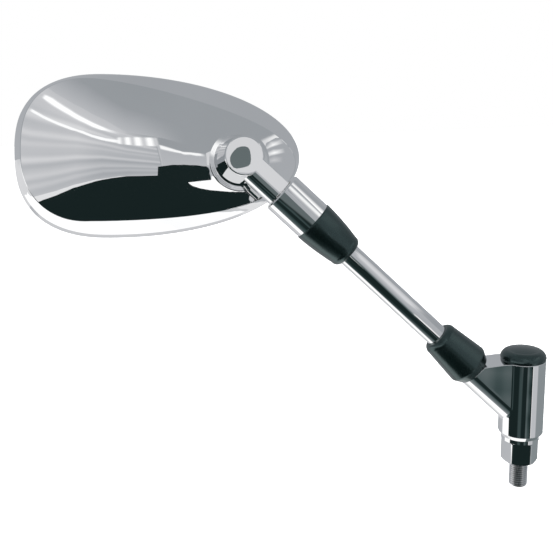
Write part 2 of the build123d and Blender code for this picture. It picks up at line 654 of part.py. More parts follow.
def mirror_glass():
    """Convex mirror glass."""
    return on_head(curved_plate(GLASS_EDGE_INSET, 0, GLASS_THICKNESS))


def glass_seal():
    """Rubber ring that fills the rim's corner and grips the edge of the glass."""
    wall = HOUSING_WALL + SEAT_GAP
    top = LIP_TOP + SEAL_DEPTH
    front = rim_band(RIM_OPENING_INSET + SEAT_GAP, LIP_DRAW + wall)
    back = head_form(wall) & egg_prism(LIP_TOP, top, 0)
    band = front + back - egg_prism(RIM_FACE, top, SEAL_INNER_INSET)
    groove = curved_plate(GLASS_EDGE_INSET - SEAT_GAP, -SEAT_GAP, GLASS_THICKNESS + SEAT_GAP)
    return on_head(band - groove)


def glass_backing():
    """Plastic plate behind the glass, inside the seal."""
    front = GLASS_THICKNESS + SEAT_GAP
    return on_head(curved_plate(SEAL_INNER_INSET + SEAT_GAP, front, front + BACKING_THICKNESS))


PIECES = {
    "mounting_stud": mounting_stud(),
    "thrust_washer": thrust_washer(),
    "spring_seat": ring(SPRING_SEAT_R, SHAFT_R + SEAT_GAP, spring_seat_foot(), spring_foot()),
    "pivot_spring": pivot_spring(),
    "spring_cup": ring(SPRING_CUP_R, SHAFT_THREAD_R + SEAT_GAP, spring_cup_foot(), pivot_nut_foot()),
    "pivot_nut": pivot_nut(),
    "base_bracket": base_bracket(),
    "lower_bush": barrel_bush(BARREL_FOOT_Z, BARREL_FOOT_Z),
    "upper_bush": barrel_bush(CHAMBER_FLOOR_Z + BUSH_FLANGE_THICKNESS - BUSH_LENGTH, CHAMBER_FLOOR_Z),
    "barrel_cap": barrel_cap(),
    "stem_tube": stem_tube(),
    "stem_lock_nut": stem_lock_nut(),
    "lower_boot": lower_boot(),
    "upper_boot": upper_boot(),
    "stem_sleeve": stem_sleeve(),
    "sleeve_bush": sleeve_bush(),
    "swivel_knuckle": swivel_knuckle(),
    "twist_screw": twist_screw(),
    "twist_spring": twist_spring(),
    "swivel_washer": swivel_washer(),
    "swivel_screw": swivel_screw(),
    "swivel_spring": swivel_spring(),
    "swivel_plate": swivel_plate(),
    "mirror_housing": mirror_housing(),
    "mirror_glass": mirror_glass(),
    "glass_seal": glass_seal(),
    "glass_backing": glass_backing(),
}

for name, piece in PIECES.items():
    export_step(piece, f"parts/{name}.step")
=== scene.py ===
"""Dressed scene of a chrome handlebar mirror with an egg-shaped head, in a plain white studio."""
from __future__ import annotations

import logging
import math
from contextlib import contextmanager
from dataclasses import dataclass, field
from enum import Enum
from typing import Callable, ClassVar, Iterator, Sequence

import bpy
from mathutils import Matrix, Vector

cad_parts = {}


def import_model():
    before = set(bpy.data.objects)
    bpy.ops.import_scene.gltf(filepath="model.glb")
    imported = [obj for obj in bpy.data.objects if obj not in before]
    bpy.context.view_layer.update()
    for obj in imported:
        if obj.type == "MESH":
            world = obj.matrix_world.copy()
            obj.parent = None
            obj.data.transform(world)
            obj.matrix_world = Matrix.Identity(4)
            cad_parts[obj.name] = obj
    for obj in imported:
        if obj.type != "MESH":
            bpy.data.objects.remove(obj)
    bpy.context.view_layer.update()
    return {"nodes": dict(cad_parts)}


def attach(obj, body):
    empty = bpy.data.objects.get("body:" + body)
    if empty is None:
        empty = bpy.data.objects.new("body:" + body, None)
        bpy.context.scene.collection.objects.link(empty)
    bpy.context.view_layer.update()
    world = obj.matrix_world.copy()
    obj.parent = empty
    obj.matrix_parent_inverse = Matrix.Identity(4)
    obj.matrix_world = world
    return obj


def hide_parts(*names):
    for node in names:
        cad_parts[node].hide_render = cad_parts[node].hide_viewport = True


LOG = logging.getLogger("handlebar_mirror")
MERGE_DISTANCE = 1e-7
WELD_DISTANCE = 1e-6
MM_PER_METRE = 1000.0
SOFT_ANGLE = math.radians(32.0)
MIDDLE = Vector((-0.127, 0.01, 0.10))
RING_AZIMUTHS = range(-180, 181, 45)
Colour = tuple[float, float, float]


class Slot(Enum):
    """The part's material slots."""

    CHROME = "chrome"
    RUBBER = "rubber"
    ZINC = "zinc_steel"
    SPRING = "spring_steel"
    BEARING = "bearing_plastic"
    CARRIER = "carrier_plastic"
    MIRROR = "mirror"


class Body(Enum):
    """The part's bodies that modelled pieces ride on."""

    MOUNT = "mount"
    HEAD = "head"


# ---------------------------------------------------------------- helpers


def select_only(obj: bpy.types.Object) -> None:
    """Make one object the only selected and active one.

    Args:
        obj: The object to work on.
    """
    bpy.ops.object.select_all(action="DESELECT")
    obj.select_set(True)
    bpy.context.view_layer.objects.active = obj


@contextmanager
def edit_mode(obj: bpy.types.Object) -> Iterator[None]:
    """Hold an object in edit mode, with all of its mesh selected at the start.

    Args:
        obj: The mesh object.

    Yields:
        Nothing, while the object is in edit mode.
    """
    select_only(obj)
    bpy.ops.object.mode_set(mode="EDIT")
    bpy.ops.mesh.select_mode(type="VERT")
    bpy.ops.mesh.select_all(action="SELECT")
    yield
    bpy.ops.object.mode_set(mode="OBJECT")


def pick(obj: bpy.types.Object, wanted: Callable[[Vector], bool]) -> None:
    """Select the vertices of an object that lie at wanted places.

    Args:
        obj: The mesh object, in object mode.
        wanted: Test of a vertex's place.
    """
    bpy.context.tool_settings.mesh_select_mode = (True, False, False)
    mesh = obj.data
    for polygon in mesh.polygons:
        polygon.select = False
    for edge in mesh.edges:
        edge.select = False
    for vertex in mesh.vertices:
        vertex.select = wanted(vertex.co)


def apply_modifier(obj: bpy.types.Object, kind: str, **settings: object) -> None:
    """Add a modifier, set it and apply it.

    Args:
        obj: The mesh object.
        kind: Blender's name of the modifier's type.
        **settings: Values of the modifier's own properties.
    """
    select_only(obj)
    modifier = obj.modifiers.new(kind.lower(), kind)
    for key, value in settings.items():
        setattr(modifier, key, value)
    bpy.ops.object.modifier_apply(modifier=modifier.name)


def cut_level(height: float, keep_above: bool) -> None:
    """Cut the mesh in edit mode at a height and close it there.

    Args:
        height: Where the level cut lies.
        keep_above: Whether the part above the cut stays, or the part below it.
    """
    bpy.ops.mesh.bisect(
        plane_co=(0.0, 0.0, height), plane_no=(0.0, 0.0, 1.0), clear_inner=keep_above,
        clear_outer=not keep_above, use_fill=True, threshold=MERGE_DISTANCE)
    bpy.ops.mesh.select_all(action="SELECT")


def remove(obj: bpy.types.Object) -> None:
    """Delete a helper object."""
    bpy.data.objects.remove(obj, do_unlink=True)


def copy_of(solid: bpy.types.Object, name: str) -> bpy.types.Object:
    """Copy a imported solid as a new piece, welded and without the solid's own normals.

    Args:
        solid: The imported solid.
        name: The new piece's name.

    Returns:
        The copy, in object mode.
    """
    select_only(solid)
    bpy.ops.object.duplicate(linked=False)
    piece = bpy.context.view_layer.objects.active
    piece.name = name
    piece.data.name = name
    with edit_mode(piece):
        bpy.ops.mesh.customdata_custom_splitnormals_clear()
        bpy.ops.mesh.remove_doubles(threshold=WELD_DISTANCE)
    return piece


def soften(piece: bpy.types.Object) -> None:
    """Shade a piece smoothly, with its sharp edges kept."""
    select_only(piece)
    bpy.ops.object.shade_smooth_by_angle(angle=SOFT_ANGLE, keep_sharp_edges=False)


def bare_tree(data: bpy.types.Material) -> bpy.types.NodeTree:
    """Give a material nodes and take its standard shader out.

    Args:
        data: A new material.

    Returns:
        Its node tree, with only the output left.
    """
    data.use_nodes = True
    tree = data.node_tree
    tree.nodes.remove(tree.nodes["Principled BSDF"])
    return tree


def maths(
        tree: bpy.types.NodeTree, operation: str, first: bpy.types.NodeSocket,
        second: bpy.types.NodeSocket | float) -> bpy.types.NodeSocket:
    """Add a Math node.

    Args:
        tree: The node tree.
        operation: Blender's name of the operation.
        first: The first value.
        second: The second value, linked or fixed.

    Returns:
        The result.
    """
    node = tree.nodes.new("ShaderNodeMath")
    node.operation = operation
    tree.links.new(first, node.inputs[0])
    if isinstance(second, float):
        node.inputs[1].default_value = second
    else:
        tree.links.new(second, node.inputs[1])
    return node.outputs["Value"]


def mixed(
        tree: bpy.types.NodeTree, share: bpy.types.NodeSocket, first: bpy.types.NodeSocket,
        second: bpy.types.NodeSocket) -> bpy.types.NodeSocket:
    """Add a Mix Shader node.

    Args:
        tree: The node tree.
        share: How much of the second shader shows.
        first: The first shader.
        second: The second shader.

    Returns:
        The mixed shader.
    """
    node = tree.nodes.new("ShaderNodeMixShader")
    tree.links.new(share, node.inputs["Fac"])
    tree.links.new(first, node.inputs[1])
    tree.links.new(second, node.inputs[2])
    return node.outputs["Shader"]


# ---------------------------------------------------------------- finishes


@dataclass(frozen=True)
class Finish:
    """A procedural finish: mottled colour, mottled gloss and fine relief."""

    MOTTLE_EDGES: ClassVar[tuple[float, float]] = (0.3, 0.7)
    MOTTLE_DETAIL: ClassVar[float] = 3.0
    RELIEF_DETAIL: ClassVar[float] = 2.0
    dark: Colour
    light: Colour
    metallic: float
    rough_low: float
    rough_high: float
    mottle_scale: float
    relief_scale: float
    relief_height: float
    relief_strength: float
    specular: float = 0.5
    specular_tint: Colour = (1.0, 1.0, 1.0)
    coat: float = 0.0
    coat_rough: float = 0.05

    def material(self, name: str) -> bpy.types.Material:
        """Build the finish as a node material.

        Args:
            name: The material's name.

        Returns:
            The new material.
        """
        material = bpy.data.materials.new(name)
        material.use_nodes = True
        tree = material.node_tree
        shader = tree.nodes["Principled BSDF"]
        shader.inputs["Metallic"].default_value = self.metallic
        shader.inputs["Specular IOR Level"].default_value = self.specular
        shader.inputs["Specular Tint"].default_value = (*self.specular_tint, 1.0)
        shader.inputs["Coat Weight"].default_value = self.coat
        shader.inputs["Coat Roughness"].default_value = self.coat_rough
        place = tree.nodes.new("ShaderNodeTexCoord")
        mottle = self._noise(tree, place, self.mottle_scale, self.MOTTLE_DETAIL)
        # A finish may paint shade into the colour here; the thread's finish darkens its roots.
        colour = self._with_painted_shade(tree, place, self._colour(tree, mottle))
        tree.links.new(colour, shader.inputs["Base Color"])
        tree.links.new(self._gloss(tree, mottle), shader.inputs["Roughness"])
        tree.links.new(self._relief(tree, place), shader.inputs["Normal"])
        return material

    def _colour(self, tree: bpy.types.NodeTree, mottle: bpy.types.Node) -> bpy.types.NodeSocket:
        """Mottle the colour between its dark and its light.

        Args:
            tree: The material's node tree.
            mottle: The noise of the mottle.

        Returns:
            The colour.
        """
        ramp = tree.nodes.new("ShaderNodeValToRGB")
        for stop, place, colour in zip(ramp.color_ramp.elements, self.MOTTLE_EDGES, (self.dark, self.light)):
            stop.position = place
            stop.color = (*colour, 1.0)
        tree.links.new(mottle.outputs["Fac"], ramp.inputs["Fac"])
        return ramp.outputs["Color"]

    def _gloss(self, tree: bpy.types.NodeTree, mottle: bpy.types.Node) -> bpy.types.NodeSocket:
        """Mottle the roughness between its low and its high.

        Args:
            tree: The material's node tree.
            mottle: The noise of the mottle.

        Returns:
            The roughness.
        """
        gloss = tree.nodes.new("ShaderNodeMapRange")
        gloss.inputs["From Min"].default_value, gloss.inputs["From Max"].default_value = self.MOTTLE_EDGES
        gloss.inputs["To Min"].default_value = self.rough_low
        gloss.inputs["To Max"].default_value = self.rough_high
        tree.links.new(mottle.outputs["Fac"], gloss.inputs["Value"])
        return gloss.outputs["Result"]

    def _relief(self, tree: bpy.types.NodeTree, place: bpy.types.Node) -> bpy.types.NodeSocket:
        """Make the surface's fine relief.

        Args:
            tree: The material's node tree.
            place: The texture coordinate node.

        Returns:
            The normal.
        """
        grain = self._noise(tree, place, self.relief_scale, self.RELIEF_DETAIL)
        relief = tree.nodes.new("ShaderNodeBump")
        relief.inputs["Strength"].default_value = self.relief_strength
        relief.inputs["Distance"].default_value = self.relief_height
        tree.links.new(grain.outputs["Fac"], relief.inputs["Height"])
        return relief.outputs["Normal"]

    def _with_painted_shade(
            self, tree: bpy.types.NodeTree, place: bpy.types.Node,
            colour: bpy.types.NodeSocket) -> bpy.types.NodeSocket:
        """Leave the colour as it is; a finish with painted shade changes it."""
        return colour

    @staticmethod
    def _noise(tree: bpy.types.NodeTree, place: bpy.types.Node, scale: float, detail: float) -> bpy.types.Node:
        """Add a noise that is fixed to the piece.

        Args:
            tree: The material's node tree.
            place: The texture coordinate node.
            scale: Grains per metre.
            detail: Octaves of finer grain.

        Returns:
            The noise node.
        """
        noise = tree.nodes.new("ShaderNodeTexNoise")
        noise.inputs["Scale"].default_value = scale
        noise.inputs["Detail"].default_value = detail
        tree.links.new(place.outputs["Object"], noise.inputs["Vector"])
        return noise


@dataclass(frozen=True)
class ThreadFinish(Finish):
    """A finish round an upright axis with painted shade: full colour on a thread's crests, darker towards its roots."""

    root_radius: float = 0.0043
    crest_radius: float = 0.0050
    # Share of the colour kept at the thread's roots: painted shade.
    root_shade_share: float = 0.50

    def _with_painted_shade(
            self, tree: bpy.types.NodeTree, place: bpy.types.Node,
            colour: bpy.types.NodeSocket) -> bpy.types.NodeSocket:
        """Paint shade into the colour towards the thread's roots.

        Args:
            tree: The material's node tree.
            place: The texture coordinate node.
            colour: The colour of the crests.

        Returns:
            The darkened colour.
        """
        flat = tree.nodes.new("ShaderNodeVectorMath")
        flat.operation = "MULTIPLY"
        flat.inputs[1].default_value = (1.0, 1.0, 0.0)
        tree.links.new(place.outputs["Object"], flat.inputs[0])
        radius = tree.nodes.new("ShaderNodeVectorMath")
        radius.operation = "LENGTH"
        tree.links.new(flat.outputs["Vector"], radius.inputs[0])
        share = tree.nodes.new("ShaderNodeMapRange")
        share.inputs["From Min"].default_value = self.root_radius
        share.inputs["From Max"].default_value = self.crest_radius
        share.inputs["To Min"].default_value = self.root_shade_share
        share.inputs["To Max"].default_value = 1.0
        tree.links.new(radius.outputs["Value"], share.inputs["Value"])
        darker = tree.nodes.new("ShaderNodeVectorMath")
        darker.operation = "SCALE"
        tree.links.new(colour, darker.inputs[0])
        tree.links.new(share.outputs["Result"], darker.inputs["Scale"])
        return darker.outputs["Vector"]


# The thread's zinc, with painted shade that darkens it towards the roots.
THREAD_FINISH = ThreadFinish(
    dark=(0.92, 0.93, 0.94), light=(0.96, 0.97, 0.98), metallic=1.0, rough_low=0.27, rough_high=0.33,
    mottle_scale=250.0, relief_scale=1500.0, relief_height=0.00002, relief_strength=0.08)
FINISHES: dict[Slot, Finish] = {
    Slot.CHROME: Finish(
        dark=(0.82, 0.825, 0.83), light=(0.84, 0.845, 0.85), metallic=1.0, rough_low=0.018, rough_high=0.03,
        mottle_scale=30.0, relief_scale=60.0, relief_height=0.00005, relief_strength=0.02),
    Slot.RUBBER: Finish(
        dark=(0.0015, 0.004, 0.004), light=(0.0025, 0.005, 0.005), metallic=0.0, rough_low=0.20, rough_high=0.23,
        mottle_scale=90.0, relief_scale=1800.0, relief_height=0.00001, relief_strength=0.02, specular=1.0,
        specular_tint=(0.70, 1.0, 1.0)),
    Slot.ZINC: Finish(
        dark=(0.62, 0.63, 0.64), light=(0.72, 0.73, 0.74), metallic=1.0, rough_low=0.14, rough_high=0.22,
        mottle_scale=250.0, relief_scale=1500.0, relief_height=0.00002, relief_strength=0.08),
    Slot.SPRING: Finish(
        dark=(0.22, 0.22, 0.23), light=(0.34, 0.34, 0.35), metallic=1.0, rough_low=0.22, rough_high=0.34,
        mottle_scale=300.0, relief_scale=1800.0, relief_height=0.00003, relief_strength=0.15),
    Slot.BEARING: Finish(
        dark=(0.60, 0.58, 0.52), light=(0.68, 0.66, 0.60), metallic=0.0, rough_low=0.38, rough_high=0.48,
        mottle_scale=200.0, relief_scale=1600.0, relief_height=0.00003, relief_strength=0.15),
    Slot.CARRIER: Finish(
        dark=(0.018, 0.018, 0.019), light=(0.030, 0.030, 0.031), metallic=0.0, rough_low=0.45, rough_high=0.55,
        mottle_scale=150.0, relief_scale=1500.0, relief_height=0.00005, relief_strength=0.25),
    Slot.MIRROR: Finish(
        dark=(0.80, 0.83, 0.83), light=(0.83, 0.86, 0.86), metallic=1.0, rough_low=0.010, rough_high=0.016,
        mottle_scale=20.0, relief_scale=12.0, relief_height=0.00002, relief_strength=0.01, coat=0.3,
        coat_rough=0.01),
}


class Wardrobe:
    """The finishes made so far, one material for each slot."""

    def __init__(self) -> None:
        """Start with no material made."""
        self._made: dict[Slot, bpy.types.Material] = {}

    def material(self, slot: Slot) -> bpy.types.Material:
        """Give a slot's material, made at its first use.

        Args:
            slot: The material slot.

        Returns:
            The slot's material.
        """
        if slot not in self._made:
            self._made[slot] = FINISHES[slot].material(slot.value)
        return self._made[slot]

    def dress(self, obj: bpy.types.Object, slot: Slot) -> None:
        """Give a whole piece one finish.

        Args:
            obj: The piece.
            slot: The material slot.
        """
        obj.data.materials.clear()
        obj.data.materials.append(self.material(slot))


# ---------------------------------------------------------------- sub-assemblies


@dataclass
class SubAssembly:
    """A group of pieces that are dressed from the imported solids."""

    nodes: dict[str, bpy.types.Object]
    wardrobe: Wardrobe
    finishes: dict[str, Slot] = field(default_factory=dict)

    def dress(self) -> None:
        """Dress each solid of the group."""
        for name, slot in self.finishes.items():
            self.wardrobe.dress(self.nodes[name], slot)
            LOG.info("dressed %s as %s", name, slot.value)


@dataclass
class Mount(SubAssembly):
    """Threaded stud with its hexagon, and the spring pack on its shaft."""

    finishes: dict[str, Slot] = field(default_factory=lambda: {
        "mounting_stud": Slot.ZINC, "thrust_washer": Slot.CHROME, "spring_seat": Slot.ZINC,
        "pivot_spring": Slot.SPRING, "spring_cup": Slot.ZINC, "pivot_nut": Slot.ZINC})
    stud_radius: float = 0.005
    stud_length: float = 0.0155
    tip_chamfer: float = 0.0013
    thread_pitch: float = 0.00125
    thread_depth: float = 0.00077
    thread_lap: float = 0.0006
    thread_steps: int = 72
    run_in: float = 1.5
    spare_turns: int = 2
    hex_corner: float = 0.0101
    hex_edge_round: float = 0.0006
    hex_round_steps: int = 4
    least_edge: float = 0.004
    least_upright: float = 0.99
    corner_share: float = 0.95
    flat_angle: float = math.radians(0.5)
    tip_steps: int = 3
    tip_profile: float = 0.6
    cutter_sides: int = 96
    shaft_margin: float = 1.04

    def build(self) -> bpy.types.Object:
        """Model the stud with a real thread and rounded hexagon edges.

        Returns:
            The finished stud, which stands for its solid.
        """
        stud = self._hexagon_and_shaft()
        thread = self._thread()
        apply_modifier(stud, "BOOLEAN", operation="UNION", object=thread, solver="EXACT")
        remove(thread)
        with edit_mode(stud):
            bpy.ops.mesh.remove_doubles(threshold=MERGE_DISTANCE)
            bpy.ops.mesh.normals_make_consistent(inside=False)
        soften(stud)
        self._dress_stud(stud)
        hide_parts("mounting_stud")
        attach(stud, Body.MOUNT.value)
        return stud

    def _hexagon_and_shaft(self) -> bpy.types.Object:
        """Copy the solid's upper part and round the hexagon's upright edges.

        Returns:
            A closed mesh object from the hexagon's lower face up.
        """
        stud = copy_of(self.nodes["mounting_stud"], "threaded_stud")
        stud.data.materials.clear()
        with edit_mode(stud):
            cut_level(0.0, keep_above=True)
            bpy.ops.mesh.dissolve_limited(angle_limit=self.flat_angle)
        self._round_upright_edges(stud)
        return stud

    def _round_upright_edges(self, stud: bpy.types.Object) -> None:
        """Round the six upright edges of the hexagon.

        Args:
            stud: The copied upper part.
        """
        mesh = stud.data
        pick(stud, lambda place: False)
        for edge in mesh.edges:
            low, high = (mesh.vertices[index].co for index in edge.vertices)
            run = high - low
            upright = abs(run.normalized().z) > self.least_upright and run.length > self.least_edge
            if upright and low.xy.length > self.corner_share * self.hex_corner:
                edge.select = True
        bpy.context.tool_settings.mesh_select_mode = (False, True, False)
        select_only(stud)
        bpy.ops.object.mode_set(mode="EDIT")
        bpy.ops.mesh.bevel(offset=self.hex_edge_round, segments=self.hex_round_steps, affect="EDGES")
        bpy.ops.object.mode_set(mode="OBJECT")

    def _thread(self) -> bpy.types.Object:
        """Model the thread: one tooth's outline, wound up the stud and cut to length.

        Returns:
            A closed mesh object of the threaded length.
        """
        pitch = self.thread_pitch
        turns = math.ceil((self.stud_length + self.thread_lap) / pitch) + self.spare_turns
        start = -self.stud_length - self.run_in * pitch
        root = self.stud_radius - self.thread_depth
        bpy.ops.object.select_all(action="DESELECT")
        bpy.ops.mesh.primitive_plane_add(size=pitch)
        thread = bpy.context.object
        thread.name = "stud_thread"
        first = Vector((root, 0.0, start))
        corner = min(range(4), key=lambda index: tuple(thread.data.vertices[index].co))
        keep = thread.data.vertices[corner].co.copy()
        pick(thread, lambda place: (place - keep).length > MERGE_DISTANCE)
        bpy.ops.object.mode_set(mode="EDIT")
        bpy.ops.mesh.delete(type="VERT")
        bpy.ops.mesh.select_all(action="SELECT")
        bpy.ops.transform.translate(value=first - keep)
        root_flat, crest_flat, flank = pitch / 4, pitch / 8, 5 * pitch / 16
        for out, rise in ((0.0, root_flat), (self.thread_depth, flank), (0.0, crest_flat), (-self.thread_depth, flank)):
            bpy.ops.mesh.extrude_region_move(TRANSFORM_OT_translate={"value": (out, 0.0, rise)})
        bpy.ops.object.mode_set(mode="OBJECT")
        apply_modifier(
            thread, "SCREW", axis="Z", angle=2 * math.pi, screw_offset=pitch, iterations=turns,
            steps=self.thread_steps, render_steps=self.thread_steps, use_merge_vertices=True)
        with edit_mode(thread):
            bpy.ops.mesh.remove_doubles(threshold=WELD_DISTANCE)
            cut_level(self.thread_lap, keep_above=False)
            cut_level(-self.stud_length, keep_above=True)
            bpy.ops.mesh.normals_make_consistent(inside=False)
        cutter = self._tip_cutter()
        apply_modifier(thread, "BOOLEAN", operation="INTERSECT", object=cutter, solver="EXACT")
        remove(cutter)
        return thread

    def _tip_cutter(self) -> bpy.types.Object:
        """Model a plain bar with a chamfered tip, to turn the thread's end down.

        Returns:
            The bar.
        """
        length = self.stud_length + 2 * self.thread_lap
        bpy.ops.object.select_all(action="DESELECT")
        bpy.ops.mesh.primitive_cylinder_add(
            vertices=self.cutter_sides, radius=self.stud_radius, depth=length,
            location=(0.0, 0.0, length / 2 - self.stud_length))
        bar = bpy.context.object
        bpy.ops.object.transform_apply(location=True, rotation=True, scale=True)
        pick(bar, lambda place: place.z < -self.stud_length + MERGE_DISTANCE)
        bpy.ops.object.mode_set(mode="EDIT")
        bpy.ops.mesh.bevel(
            offset=self.tip_chamfer, segments=self.tip_steps, profile=self.tip_profile, affect="EDGES")
        bpy.ops.object.mode_set(mode="OBJECT")
        return bar

    def _dress_stud(self, stud: bpy.types.Object) -> None:
        """Chrome on the hexagon, plain zinc on the shaft, and zinc with painted shade in its roots on the thread.

        Args:
            stud: The finished stud.
        """
        mesh = stud.data
        mesh.materials.clear()
        finishes = (self.wardrobe.material(Slot.ZINC), self.wardrobe.material(Slot.CHROME),
                    THREAD_FINISH.material("thread_zinc"))
        for material in finishes:
            mesh.materials.append(material)
        shaft, hexagon, thread = range(len(finishes))
        for polygon in mesh.polygons:
            outside = polygon.center.xy.length > self.shaft_margin * self.stud_radius
            if polygon.center.z < -MERGE_DISTANCE:
                polygon.material_index = thread
            else:
                polygon.material_index = hexagon if outside else shaft


@dataclass
class Base(SubAssembly):
    """Base bracket with its bushes and its soft cap."""

    finishes: dict[str, Slot] = field(default_factory=lambda: {
        "base_bracket": Slot.CHROME, "lower_bush": Slot.BEARING, "upper_bush": Slot.BEARING,
        "barrel_cap": Slot.RUBBER})


@dataclass
class Stem(SubAssembly):
    """Straight tube with its lock nut, its two boots and the sleeve on top."""

    finishes: dict[str, Slot] = field(default_factory=lambda: {
        "stem_tube": Slot.CHROME, "stem_lock_nut": Slot.ZINC, "lower_boot": Slot.RUBBER,
        "upper_boot": Slot.RUBBER, "stem_sleeve": Slot.CHROME, "sleeve_bush": Slot.BEARING})


@dataclass
class Knuckle(SubAssembly):
    """Swivel knuckle with its screws, springs and washers."""

    finishes: dict[str, Slot] = field(default_factory=lambda: {
        "swivel_knuckle": Slot.CHROME, "swivel_washer": Slot.BEARING, "swivel_screw": Slot.ZINC,
        "swivel_spring": Slot.SPRING, "swivel_plate": Slot.ZINC, "twist_screw": Slot.ZINC,
        "twist_spring": Slot.SPRING})


@dataclass
class Head(SubAssembly):
    """Egg-shaped housing with the glass, its seal and its carrier."""

    finishes: dict[str, Slot] = field(default_factory=lambda: {
        "mirror_housing": Slot.CHROME, "mirror_glass": Slot.MIRROR, "glass_seal": Slot.RUBBER,
        "glass_backing": Slot.CARRIER})

    def build(self) -> bpy.types.Object:
        """Copy the glass with new normals, because its solid's are wrong at the middle of its curved faces.

        Returns:
            The finished glass, which stands for its solid.
        """
        glass = copy_of(self.nodes["mirror_glass"], "curved_glass")
        with edit_mode(glass):
            bpy.ops.mesh.normals_make_consistent(inside=False)
        soften(glass)
        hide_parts("mirror_glass")
        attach(glass, Body.HEAD.value)
        return glass


# ---------------------------------------------------------------- studio


@dataclass(frozen=True)
class Station:
    """One upright line of a card: its azimuth, its two ends' elevations in degrees, and their shades."""

    azimuth: float
    low: float
    high: float
    low_shade: float
    high_shade: float

    def towards(self, other: Station, share: float) -> Station:
        """Give the line that lies a share of the way to another one.

        Args:
            other: The next line of the card.
            share: From 0 at this line to 1 at the other.

        Returns:
            The line between.
        """
        return Station(*(a + (b - a) * share for a, b in zip(self.values(), other.values())))

    def values(self) -> tuple[float, float, float, float, float]:
        """The line's numbers in order."""
        return (self.azimuth, self.low, self.high, self.low_shade, self.high_shade)


@dataclass(frozen=True)
class Soft:
    """How much of a card each of its four borders takes to fade out."""

    left: float = 0.0
    right: float = 0.0
    low: float = 0.0
    high: float = 0.0

    def cover(self, along: float, up: float) -> float:
        """Find how much the card covers at a place on it.

        Args:
            along: Share of the way from its left border to its right one.
            up: Share of the way from its lower border to its upper one.

        Returns:
            From 0 for clear to 1 for full.
        """
        shares = ((along, self.left), (1 - along, self.right), (up, self.low), (1 - up, self.high))
        return math.prod(self._rise(share, width) for share, width in shares)

    @staticmethod
    def _rise(share: float, width: float) -> float:
        """Rise smoothly from 0 at a border to 1 at the end of its fade."""
        part = min(1.0, share / width) if width else 1.0
        return part * part * (3 - 2 * part)


class Gate(Enum):
    """Rays that a card is kept for: from 63 mm away or further, and reflections of reflections."""

    HEAD = ("Ray Length", 0.063)
    SECOND = ("Glossy Depth", 1.5)


HEAD_ONLY = (Gate.HEAD,)
SECOND_ONLY = (Gate.SECOND,)


@dataclass(frozen=True)
class Backdrop:
    """A named sheet that only polished surfaces show."""

    TINTS: ClassVar[tuple[tuple[float, Colour], ...]] = (
        (0.0, (0.50, 1.0, 1.0)), (0.15, (0.80, 0.98, 1.0)), (0.43, (0.90, 0.94, 0.996)), (0.7, (0.96, 0.966, 0.994)),
        (1.0, (1.0, 1.0, 1.0)))
    name: str

    def _stage(
            self, sheet: bpy.types.Object, shades: Sequence[float], covers: Sequence[float],
            gates: tuple[Gate, ...]) -> None:
        """Dress the sheet and hide it from all rays but glossy ones.

        Args:
            sheet: The new sheet.
            shades: How bright it is at each vertex.
            covers: How much of what lies behind it it hides at each vertex.
            gates: The rays that it is kept for, if not all.
        """
        sheet.name = self.name
        for attribute, values in (("shade", shades), ("cover", covers)):
            sheet.data.attributes.new(attribute, "FLOAT", "POINT").data.foreach_set("value", values)
        sheet.data.materials.append(self._material(gates))
        sheet.visible_camera = False
        sheet.visible_diffuse = False
        sheet.visible_transmission = False
        sheet.visible_volume_scatter = False
        sheet.visible_shadow = False

    def _material(self, gates: tuple[Gate, ...]) -> bpy.types.Material:
        """Make the sheet's glow from its shades, cooler where it is darker.

        Args:
            gates: The rays that it is kept for, if not all.

        Returns:
            The material.
        """
        material = bpy.data.materials.new(self.name)
        tree = bare_tree(material)
        shade = tree.nodes.new("ShaderNodeAttribute")
        shade.attribute_name = "shade"
        cover = tree.nodes.new("ShaderNodeAttribute")
        cover.attribute_name = "cover"
        tint = tree.nodes.new("ShaderNodeValToRGB")
        stops = tint.color_ramp.elements
        while len(stops) < len(self.TINTS):
            stops.new(1.0)
        for stop, (place, colour) in zip(stops, self.TINTS):
            stop.position = place
            stop.color = (*colour, 1.0)
        tree.links.new(shade.outputs["Fac"], tint.inputs["Fac"])
        glow = tree.nodes.new("ShaderNodeEmission")
        tree.links.new(tint.outputs["Color"], glow.inputs["Color"])
        tree.links.new(shade.outputs["Fac"], glow.inputs["Strength"])
        clear = tree.nodes.new("ShaderNodeBsdfTransparent")
        shown = cover.outputs["Fac"]
        rays = tree.nodes.new("ShaderNodeLightPath")
        for gate in gates:
            measure, least = gate.value
            shown = maths(tree, "MULTIPLY", shown, maths(tree, "GREATER_THAN", rays.outputs[measure], least))
        surface = mixed(tree, shown, clear.outputs["BSDF"], glow.outputs["Emission"])
        tree.links.new(surface, tree.nodes["Material Output"].inputs["Surface"])
        return material


